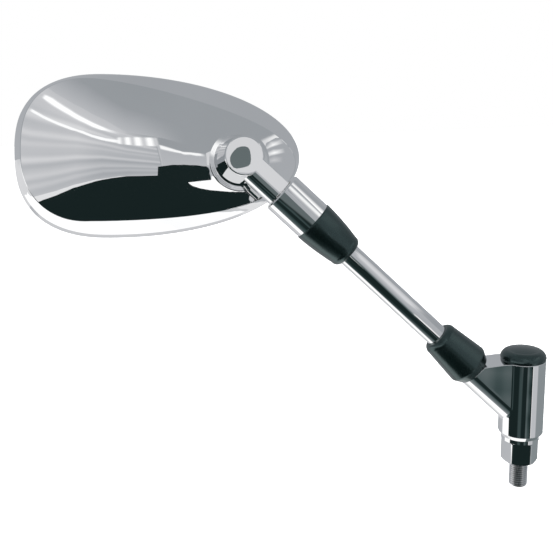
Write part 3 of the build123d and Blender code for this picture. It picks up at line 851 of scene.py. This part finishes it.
@dataclass(frozen=True)
class Card(Backdrop):
    """A far card: a sheet that curves round the object through its stations."""

    distance: float
    stations: tuple[Station, ...]
    soft: Soft = Soft()
    folds: tuple[tuple[float, float], ...] = ()
    bars: tuple[tuple[float, float], ...] = ()
    columns_each: int = 12
    rows: int = 24
    gates: tuple[Gate, ...] = ()

    def build(self) -> bpy.types.Object:
        """Make the card from a flat grid.

        Returns:
            The card.
        """
        columns = self.columns_each * (len(self.stations) - 1)
        bpy.ops.object.select_all(action="DESELECT")
        bpy.ops.mesh.primitive_grid_add(x_subdivisions=columns, y_subdivisions=self.rows, size=2.0)
        card = bpy.context.object
        shades = []
        covers = []
        for vertex in card.data.vertices:
            along = (vertex.co.x + 1) / 2
            up = (vertex.co.y + 1) / 2
            line = self._line(along)
            ripple = self._waves(self.folds, up) + self._waves(self.bars, along)
            shades.append(line.low_shade + (line.high_shade - line.low_shade) * up + ripple)
            covers.append(self.soft.cover(along, up))
            vertex.co = from_angles(line.azimuth, line.low + (line.high - line.low) * up, self.distance)
        self._stage(card, shades, covers, self.gates)
        return card

    @staticmethod
    def _waves(waves: tuple[tuple[float, float], ...], share: float) -> float:
        """Add up waves, each given by its count across the card and its height."""
        return sum(height * math.sin(2 * math.pi * count * share) for count, height in waves)

    def _line(self, along: float) -> Station:
        """Find the upright line at a place along the card.

        Args:
            along: Share of the way from its left border to its right one.

        Returns:
            The line.
        """
        spans = len(self.stations) - 1
        index = min(int(along * spans), spans - 1)
        return self.stations[index].towards(self.stations[index + 1], along * spans - index)


@dataclass(frozen=True)
class Flag(Backdrop):
    """A flat card in front of the head and square to its swivel axis, with depth and outline in millimetres.

    A soft flag is clear at its outline, and one with gates is clear to the rays that they keep out.
    """

    FACING: ClassVar[Vector] = Vector((0.22475, -0.94777, 0.22632)).normalized()
    ACROSS: ClassVar[Vector] = Vector((0.0, 0.0, 1.0)).cross(FACING).normalized()
    UPWARD: ClassVar[Vector] = FACING.cross(ACROSS)
    depth: float
    shade: float
    outline: tuple[tuple[float, float], ...]
    soft: bool = False
    gates: tuple[Gate, ...] = ()

    def build(self) -> bpy.types.Object:
        """Make the flag as one flat face, or as a fan round its middle if it is soft.

        Returns:
            The flag.
        """
        bpy.ops.object.select_all(action="DESELECT")
        bpy.ops.mesh.primitive_circle_add(
            vertices=len(self.outline), radius=1.0, fill_type="TRIFAN" if self.soft else "NGON")
        flag = bpy.context.object
        vertices = flag.data.vertices
        middle = tuple(sum(values) / len(self.outline) for values in zip(*self.outline))
        corners = iter(self.outline)
        covers = []
        for vertex in vertices:
            inside = vertex.co.length < MERGE_DISTANCE
            across, up = middle if inside else next(corners)
            vertex.co = (self.FACING * self.depth + self.ACROSS * across + self.UPWARD * up) / MM_PER_METRE
            covers.append(1.0 if inside or not self.soft else 0.0)
        self._stage(flag, [self.shade] * len(vertices), covers, self.gates)
        return flag


def plain(shade: float, *lines: tuple[float, float, float]) -> tuple[Station, ...]:
    """Give stations that all have one shade.

    Args:
        shade: The shade.
        *lines: Azimuth, lower and upper elevation of each station.

    Returns:
        The stations.
    """
    return faded(shade, shade, *lines)


def faded(low_shade: float, high_shade: float, *lines: tuple[float, float, float]) -> tuple[Station, ...]:
    """Give stations that all fade from one shade below to another above.

    Args:
        low_shade: The shade of the lower edge.
        high_shade: The shade of the upper edge.
        *lines: Azimuth, lower and upper elevation of each station.

    Returns:
        The stations.
    """
    return tuple(Station(azimuth, low, high, low_shade, high_shade) for azimuth, low, high in lines)


def sweep(*lines: tuple[float, float, float, float]) -> tuple[Station, ...]:
    """Give stations that each have a shade of their own.

    Args:
        *lines: Azimuth, lower and upper elevation, and shade of each station.

    Returns:
        The stations.
    """
    return tuple(Station(azimuth, low, high, shade, shade) for azimuth, low, high, shade in lines)


def ring(low: float, high: float, low_shade: float, high_shade: float) -> tuple[Station, ...]:
    """Give stations that go all the way round.

    Args:
        low: The lower elevation.
        high: The upper elevation.
        low_shade: The shade of the lower edge.
        high_shade: The shade of the upper edge.

    Returns:
        The stations.
    """
    return faded(low_shade, high_shade, *((azimuth, low, high) for azimuth in RING_AZIMUTHS))


def from_angles(azimuth: float, elevation: float, distance: float) -> Vector:
    """Find the point in a direction from the object's middle.

    Args:
        azimuth: Degrees from the viewer's side towards the right.
        elevation: Degrees above level.
        distance: Metres.

    Returns:
        The point.
    """
    turn = math.radians(azimuth)
    lift = math.radians(elevation)
    level = math.cos(lift)
    offset = Vector((level * math.sin(turn), -level * math.cos(turn), math.sin(lift))) * distance
    return MIDDLE + offset


ROUND_CARDS = (
    Card("ceiling", 30.0, ring(4, 90, 0.42, 0.40)),
    Card("back_wall", 29.8, plain(0.46, (125, 12, 64), (180, 12, 64), (235, 12, 64))),
    Card("white_floor", 29.5, ring(-90, -66, 1.25, 1.25), Soft(high=0.08)),
    Card("left_band", 29.0, plain(0.80, (-142, -22, -2), (-130, -22, 0), (-119, -22, 2)), Soft(left=0.3)),
    Card("left_white", 29.4, plain(1.25, (-121, -70, 2), (-100, -70, 4), (-76, -70, 4))),
    Card("left_low", 29.2, plain(0.70, (-215, -62, -30), (-150, -62, -30), (-119.5, -62, -20)), Soft(low=0.2)),
    Card("left_wall", 29.1, (
        Station(-190, -36, 12, 0.46, 0.44), Station(-140, -36, 12, 0.54, 0.48),
        Station(-119.5, -32, 12, 0.58, 0.54)), Soft(low=0.15)),
    Card("back_light", 29.0, plain(
        1.2, (134, -80, -66), (145, -80, -60), (152, -80, -52), (159, -80, -46.5), (166, -80, -48.6), (172, -80, -56),
        (180, -80, -62))),
    Card("right_wall", 28.9, faded(0.16, 0.44, (60, -74, 12), (100, -74, 12), (126, -66, 12), (145, -48, 12))),
    Card("back_edge", 28.8, plain(0.45, (145, -30, 12), (175, -30, 12))),
    Card("back_low", 28.75, plain(0.86, (156, -46, -30), (176, -44, -30)), Soft(0.15, 0.15, 0.15, 0.15)),
    Card("right_panel", 28.7, plain(0.62, (37, -34, -12), (69, -34, -12)), Soft(left=0.06, right=0.15)),
    Card("right_fill", 28.6, plain(0.52, (26, -12, 18), (36, -12, 24), (66, -12, 34))),
)
TABLE_CARDS = (
    Card("table_front", 28.0, faded(0.30, 0.02, (-66, -69, -50), (-40, -68, -44), (0, -67, -42), (60, -67, -40)),
         Soft(left=0.1, low=0.12)),
    Card("table_side", 27.6, sweep(
        (-79.5, -55, -28, 0.30), (-74, -56, -28, 0.18), (-60, -57, -28, 0.10), (-44, -56, -28, 0.045),
        (-30, -54, -26, 0.040))),
    Card("table_top", 27.2, plain(
        0.020, (-79, -30, -14), (-73, -31, -13), (-44, -40, -12), (-30, -47, -12), (0, -46, -10), (20, -46, -10),
        (36, -42, -9)), Soft(left=0.03)),
    Card("dim_wall", 26.8, plain(
        0.17, (-30, -34, -12), (-14, -22, -6), (-5, -17, 1), (3, -11.5, 6), (10, -8, 9.8), (14.4, -7, 10.3)),
        Soft(left=0.3, low=0.2)),
    Card("left_stripe", 26.6, plain(0.075, (-34, -32, -19), (-11, -32, -19)), Soft(0.3, 0.3, 0.2, 0.2)),
    Card("right_stripe", 26.6, sweep(
        (7, -32, -17, 0.10), (11, -32, -17, 0.13), (16, -32, -17, 0.12), (20, -32, -17, 0.06), (33, -32, -17, 0.04)),
        Soft(0.1, 0.1, 0.1, 0.1), folds=((7.0, 0.02),), bars=((9.0, 0.025),)),
    Card("light_wall", 26.4, sweep(
        (9, -18, -8, 0.07), (14.4, -12, 1, 0.15), (18, -8, 3, 0.28), (22.4, -4, 5, 0.46), (27, -2, 8, 0.50))),
    Card("light_gap", 26.2, plain(0.52, (14.5, 3, 17), (22, 3, 18), (28, 3, 20))),
    Card("tube_light", 25.8, sweep(
        (30, 5, 11, 0.50), (36, 8, 16, 0.52), (43, 13, 21, 0.62), (53, 18, 26, 0.80), (68, 23.5, 31.5, 0.80),
        (87, 26, 34, 0.68), (106, 24, 32, 0.46)), Soft(left=0.1, low=0.2, high=0.1)),
    Card("sleeve_light", 25.6, sweep(
        (28, 13, 20, 0.52), (36, 19, 26, 0.56), (42, 23, 30, 0.95), (50, 27, 34, 1.15), (58, 30, 37, 0.85),
        (66, 32, 39, 1.15), (74, 34, 41, 1.20), (86, 35, 42, 0.95), (98, 35, 42, 0.46)),
        Soft(left=0.1, low=0.25, high=0.25)),
)
DOME_CARDS = (
    Card("shank_shade", 22.0, plain(0.03, (-130, -80, -34), (-60, -80, -34), (20, -76, -30)),
         gates=SECOND_ONLY),
    Card("pale_curtain", 24.0, (
        Station(-18, -6, 62, 0.74, 0.66), Station(-10, -4, 55, 0.66, 0.70), Station(-5, 0, 50.5, 0.62, 0.74),
        Station(0, 5, 45.5, 0.60, 0.78), Station(5, 9, 39.5, 0.52, 0.72), Station(10, 10.4, 33.5, 0.52, 0.66),
        Station(16.3, 10.4, 29, 0.56, 0.60)), folds=((8.0, 0.055), (5.3, 0.04), (13.0, 0.025)), rows=64),
    Card("curtain_glow", 23.6, faded(
        0.60, 0.41, (-16, 60, 70), (-6, 52.7, 64), (0, 47.3, 60), (6, 40.7, 54), (10.7, 34.4, 48), (18.5, 30.6, 42),
        (24, 26, 38)), Soft(right=0.35)),
    Card("curtain_top", 23.4, faded(
        0.72, 0.66, (-16, 57, 60.5), (-6, 48.6, 52.7), (0, 42.4, 47.3), (6, 36, 40.7), (10.7, 32.2, 34.4),
        (18.5, 29.6, 31.2)), Soft(right=0.3)),
    Card("upper_streak", 23.0, plain(
        1.3, (-12.4, 52.6, 55), (-9, 49, 53), (-6, 46, 50), (-2.5, 42.4, 46.4), (0, 39.8, 43.4), (3, 37, 40.2),
        (6, 34.6, 37.2), (9.5, 32.2, 33.8)), Soft(0.06, 0.2, 0.35, 0.35)),
    Card("lower_streak", 23.0, plain(
        1.2, (-13, 45.2, 47), (-9, 41.4, 43.2), (-4.9, 38, 39.8), (0, 34.3, 36.3), (3, 31.6, 33.6), (6, 29.4, 31.6),
        (10, 27.6, 30.2)), Soft(0.04, 0.1, 0.3, 0.3)),
    Card("hem_lamps", 22.6, plain(1.0, (8.0, 28.2, 32), (12, 26.8, 32.2), (17, 26, 31.6)),
         Soft(0.12, 0.04, 0.15, 0.2), bars=((4.0, 0.30),)),
    Card("hem_side", 22.6, plain(0.62, (16.35, 10.6, 27), (16.9, 10.6, 27)), Soft(left=0.3, right=0.3)),
    Card("side_panel", 22.8, faded(0.60, 0.56, (16.5, 15, 25.5), (21, 15.5, 22), (27, 14.5, 20))),
    Card("hem_streak", 22.2, plain(1.15, (16.8, 24.8, 28), (19, 23.2, 26), (21.5, 21.6, 23.6), (26, 20, 22)),
         Soft(0.05, 0.1, 0.35, 0.35)),
)
FLAGS = (
    Flag("black_cloth", 60.0, 0.019, (
        (-290, 134), (-283, 140.6), (-275.5, 144), (-260.3, 150.9), (-246.4, 158.9), (-228.6, 165.5), (-217.6, 168.2),
        (-206.7, 169.3), (-184.1, 168.6), (-183.1, 178.6), (-172.2, 179.9), (-157.7, 178.8), (-147.4, 177),
        (-145.7, 174), (-144.4, 161.3), (-161.9, 159.6), (-160.9, 157.8), (-158.8, 155.4), (-153.7, 152.4),
        (-145.9, 149.6), (-128.2, 145.9), (-118.4, 145), (-111.6, 147.7), (-104.5, 137.6), (-106, 130), (-130, 112),
        (-200, 106), (-260, 106), (-285, 114)), gates=HEAD_ONLY),
    Flag("white_gap", 60.0, 1.25, (
        (-161.9, 159.6), (-144.4, 161.3), (-144.1, 166), (-138, 163), (-124, 152), (-118.4, 147), (-118.4, 145),
        (-128.2, 145.9), (-145.9, 149.6), (-153.7, 152.4), (-158.8, 155.4), (-160.9, 157.8)), gates=HEAD_ONLY),
    Flag("cloth_edge", 60.0, 0.90, (
        (-283, 140.6), (-283, 149), (-275.4, 151), (-260.2, 156.1), (-246.4, 162.2), (-228.5, 167.2), (-211.9, 169.6),
        (-206.7, 169.3), (-217.6, 168.2), (-228.6, 165.5), (-246.4, 158.9), (-260.3, 150.9), (-275.5, 144)),
        gates=HEAD_ONLY),
    Flag("side_grey", 60.0, 0.49, (
        (-100, 168), (-100, 193), (-95, 205), (-86, 212), (-74, 212), (-62, 200), (-62, 160), (-76, 148), (-88, 152)),
        gates=HEAD_ONLY),
    Flag("side_streak", 59.0, 1.15, (
        (-101, 195), (-91.9, 207.1), (-80.5, 210.5), (-79.5, 205), (-88, 200.5), (-98, 195.5)),
        soft=True, gates=HEAD_ONLY),
    Flag("side_glint", 59.0, 1.2, (
        (-101, 190), (-90.8, 197.1), (-80.5, 198.2), (-80, 192.8), (-89.8, 188.7), (-98, 186.5)),
        soft=True, gates=HEAD_ONLY),
    Flag("side_glow", 59.0, 0.70, (
        (-100, 183), (-90.4, 189.3), (-83, 187), (-83.6, 180.5), (-92.3, 178.8), (-98, 178.5)),
        soft=True, gates=HEAD_ONLY),
    Flag("flank_light", 15.0, 0.95, ((-185, 95), (-185, 150), (-168, 150), (-128, 112), (-128, 95)),
         gates=SECOND_ONLY),
    Flag("knuckle_light", 60.0, 0.79, (
        (-146.8, 178.4), (-146.4, 192.4), (-138.8, 198.3), (-126.3, 197.9), (-120.8, 190.4), (-121, 182.8),
        (-108.3, 169), (-110.7, 164.3), (-117.4, 161.4), (-118.1, 163.6), (-129, 174.8), (-132.6, 174.2),
        (-139.5, 175), (-144, 177.3))),
    Flag("lens_shadow", 59.0, 0.18, (
        (-143, 181.4), (-142.8, 183.5), (-141.8, 185.4), (-140.3, 187.1), (-138.4, 188.7), (-136.2, 189.4),
        (-133.7, 189.4), (-131.9, 188.7), (-131, 187.1), (-130.7, 184.3), (-130.8, 181.5), (-131.4, 179.2),
        (-132.9, 177.9), (-136.3, 177.2), (-139.5, 176.9), (-141.3, 177.6), (-142.5, 179.3))),
)


@dataclass
class Studio:
    """White floor and background, soft lamps, and the cards that polished surfaces show."""

    floor_height: float = -0.0156
    floor_size: float = 8.0
    floor_glow: float = 0.80
    floor_colour: float = 0.85
    ambient: float = 0.55
    lamp_size: float = 0.9
    lamp_distance: float = 1.4
    lamps: tuple[tuple[str, float, float, float], ...] = (
        ("key_lamp", 35.0, 45.0, 11.0), ("fill_lamp", -60.0, 35.0, 7.0), ("back_lamp", 170.0, 50.0, 7.0))
    cards: tuple[Card | Flag, ...] = ROUND_CARDS + TABLE_CARDS + DOME_CARDS + FLAGS

    def build(self) -> None:
        """Make the floor, the background, the lamps and the cards."""
        self._background()
        self._floor()
        for name, azimuth, elevation, power in self.lamps:
            self._lamp(name, azimuth, elevation, power)
        for card in self.cards:
            card.build()
            LOG.info("studio card %s", card.name)

    def _background(self) -> None:
        """White for the viewer, for reflections and through glass, and a plain level of light for the rest."""
        world = bpy.data.worlds.new("white_studio")
        bpy.context.scene.world = world
        world.use_nodes = True
        tree = world.node_tree
        light = tree.nodes["Background"]
        light.inputs["Color"].default_value = (1.0, 1.0, 1.0, 1.0)
        light.inputs["Strength"].default_value = self.ambient
        white = tree.nodes.new("ShaderNodeBackground")
        white.inputs["Color"].default_value = (1.0, 1.0, 1.0, 1.0)
        white.inputs["Strength"].default_value = 1.0
        rays = tree.nodes.new("ShaderNodeLightPath")
        seen = rays.outputs["Is Camera Ray"]
        for kind in ("Is Glossy Ray", "Is Transmission Ray"):
            seen = maths(tree, "MAXIMUM", seen, rays.outputs[kind])
        surface = mixed(tree, seen, light.outputs["Background"], white.outputs["Background"])
        tree.links.new(surface, tree.nodes["World Output"].inputs["Surface"])

    def _floor(self) -> None:
        """White floor with a faint shadow, clear from below."""
        bpy.ops.object.select_all(action="DESELECT")
        bpy.ops.mesh.primitive_plane_add(size=self.floor_size, location=(0.0, 0.0, self.floor_height))
        floor = bpy.context.object
        floor.name = "studio_floor"
        bpy.ops.object.transform_apply(location=True, rotation=True, scale=True)
        floor.data.materials.append(self._floor_material())
        floor.visible_glossy = False

    def _floor_material(self) -> bpy.types.Material:
        """Make the floor's white: lit paint with a glow for the viewer, and clear from below.

        Returns:
            The material.
        """
        material = bpy.data.materials.new("white_floor")
        tree = bare_tree(material)
        paint = tree.nodes.new("ShaderNodeBsdfDiffuse")
        paint.inputs["Color"].default_value = (self.floor_colour,) * 3 + (1.0,)
        glow = tree.nodes.new("ShaderNodeEmission")
        rays = tree.nodes.new("ShaderNodeLightPath")
        level = maths(tree, "MULTIPLY", rays.outputs["Is Camera Ray"], self.floor_glow)
        tree.links.new(level, glow.inputs["Strength"])
        both = tree.nodes.new("ShaderNodeAddShader")
        tree.links.new(paint.outputs["BSDF"], both.inputs[0])
        tree.links.new(glow.outputs["Emission"], both.inputs[1])
        clear = tree.nodes.new("ShaderNodeBsdfTransparent")
        side = tree.nodes.new("ShaderNodeNewGeometry")
        surface = mixed(tree, side.outputs["Backfacing"], both.outputs["Shader"], clear.outputs["BSDF"])
        tree.links.new(surface, tree.nodes["Material Output"].inputs["Surface"])
        return material

    def _lamp(self, name: str, azimuth: float, elevation: float, power: float) -> None:
        """Add a large soft lamp that looks at the object.

        Args:
            name: The lamp's name.
            azimuth: Degrees from the viewer's side towards the right.
            elevation: Degrees above level.
            power: Watts.
        """
        data = bpy.data.lights.new(name, "AREA")
        data.energy = power
        data.size = self.lamp_size
        lamp = bpy.data.objects.new(name, data)
        bpy.context.scene.collection.objects.link(lamp)
        place = from_angles(azimuth, elevation, self.lamp_distance)
        turn = (MIDDLE - place).to_track_quat("-Z", "Y")
        lamp.matrix_world = Matrix.Translation(place) @ turn.to_matrix().to_4x4()
        lamp.visible_camera = False
        lamp.visible_glossy = False


@dataclass
class Viewpoint:
    """The camera at the photograph's viewing angle."""

    place: tuple[float, float, float] = (-0.12408, -0.38158, 0.20156)
    right: tuple[float, float, float] = (0.9992, 0.0128, -0.0368)
    up: tuple[float, float, float] = (0.0328, 0.2345, 0.9716)
    back: tuple[float, float, float] = (0.0211, -0.9720, 0.2339)
    lens: float = 48.07
    film_width: float = 36.0
    near: float = 0.01

    def build(self) -> None:
        """Make the camera and use it."""
        data = bpy.data.cameras.new("viewpoint")
        data.lens = self.lens
        data.sensor_width = self.film_width
        data.sensor_fit = "HORIZONTAL"
        data.clip_start = self.near
        camera = bpy.data.objects.new("viewpoint", data)
        bpy.context.scene.collection.objects.link(camera)
        turn = Matrix((self.right, self.up, self.back)).transposed()
        camera.matrix_world = Matrix.Translation(self.place) @ turn.to_4x4()
        bpy.context.scene.camera = camera


# ---------------------------------------------------------------- the whole scene


def main() -> None:
    """Load the solids, dress every sub-assembly and set up the studio."""
    logging.basicConfig(level=logging.INFO, format="%(name)s: %(message)s")
    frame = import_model()
    wardrobe = Wardrobe()
    nodes = frame["nodes"]
    mount = Mount(nodes, wardrobe)
    head = Head(nodes, wardrobe)
    for assembly in (mount, Base(nodes, wardrobe), Stem(nodes, wardrobe), Knuckle(nodes, wardrobe), head):
        assembly.dress()
    for piece in (mount.build(), head.build()):
        LOG.info("modelled %s with %d faces", piece.name, len(piece.data.polygons))
    Studio().build()
    Viewpoint().build()
    bpy.context.scene.view_settings.view_transform = "Standard"


if __name__ == "__main__":
    main()
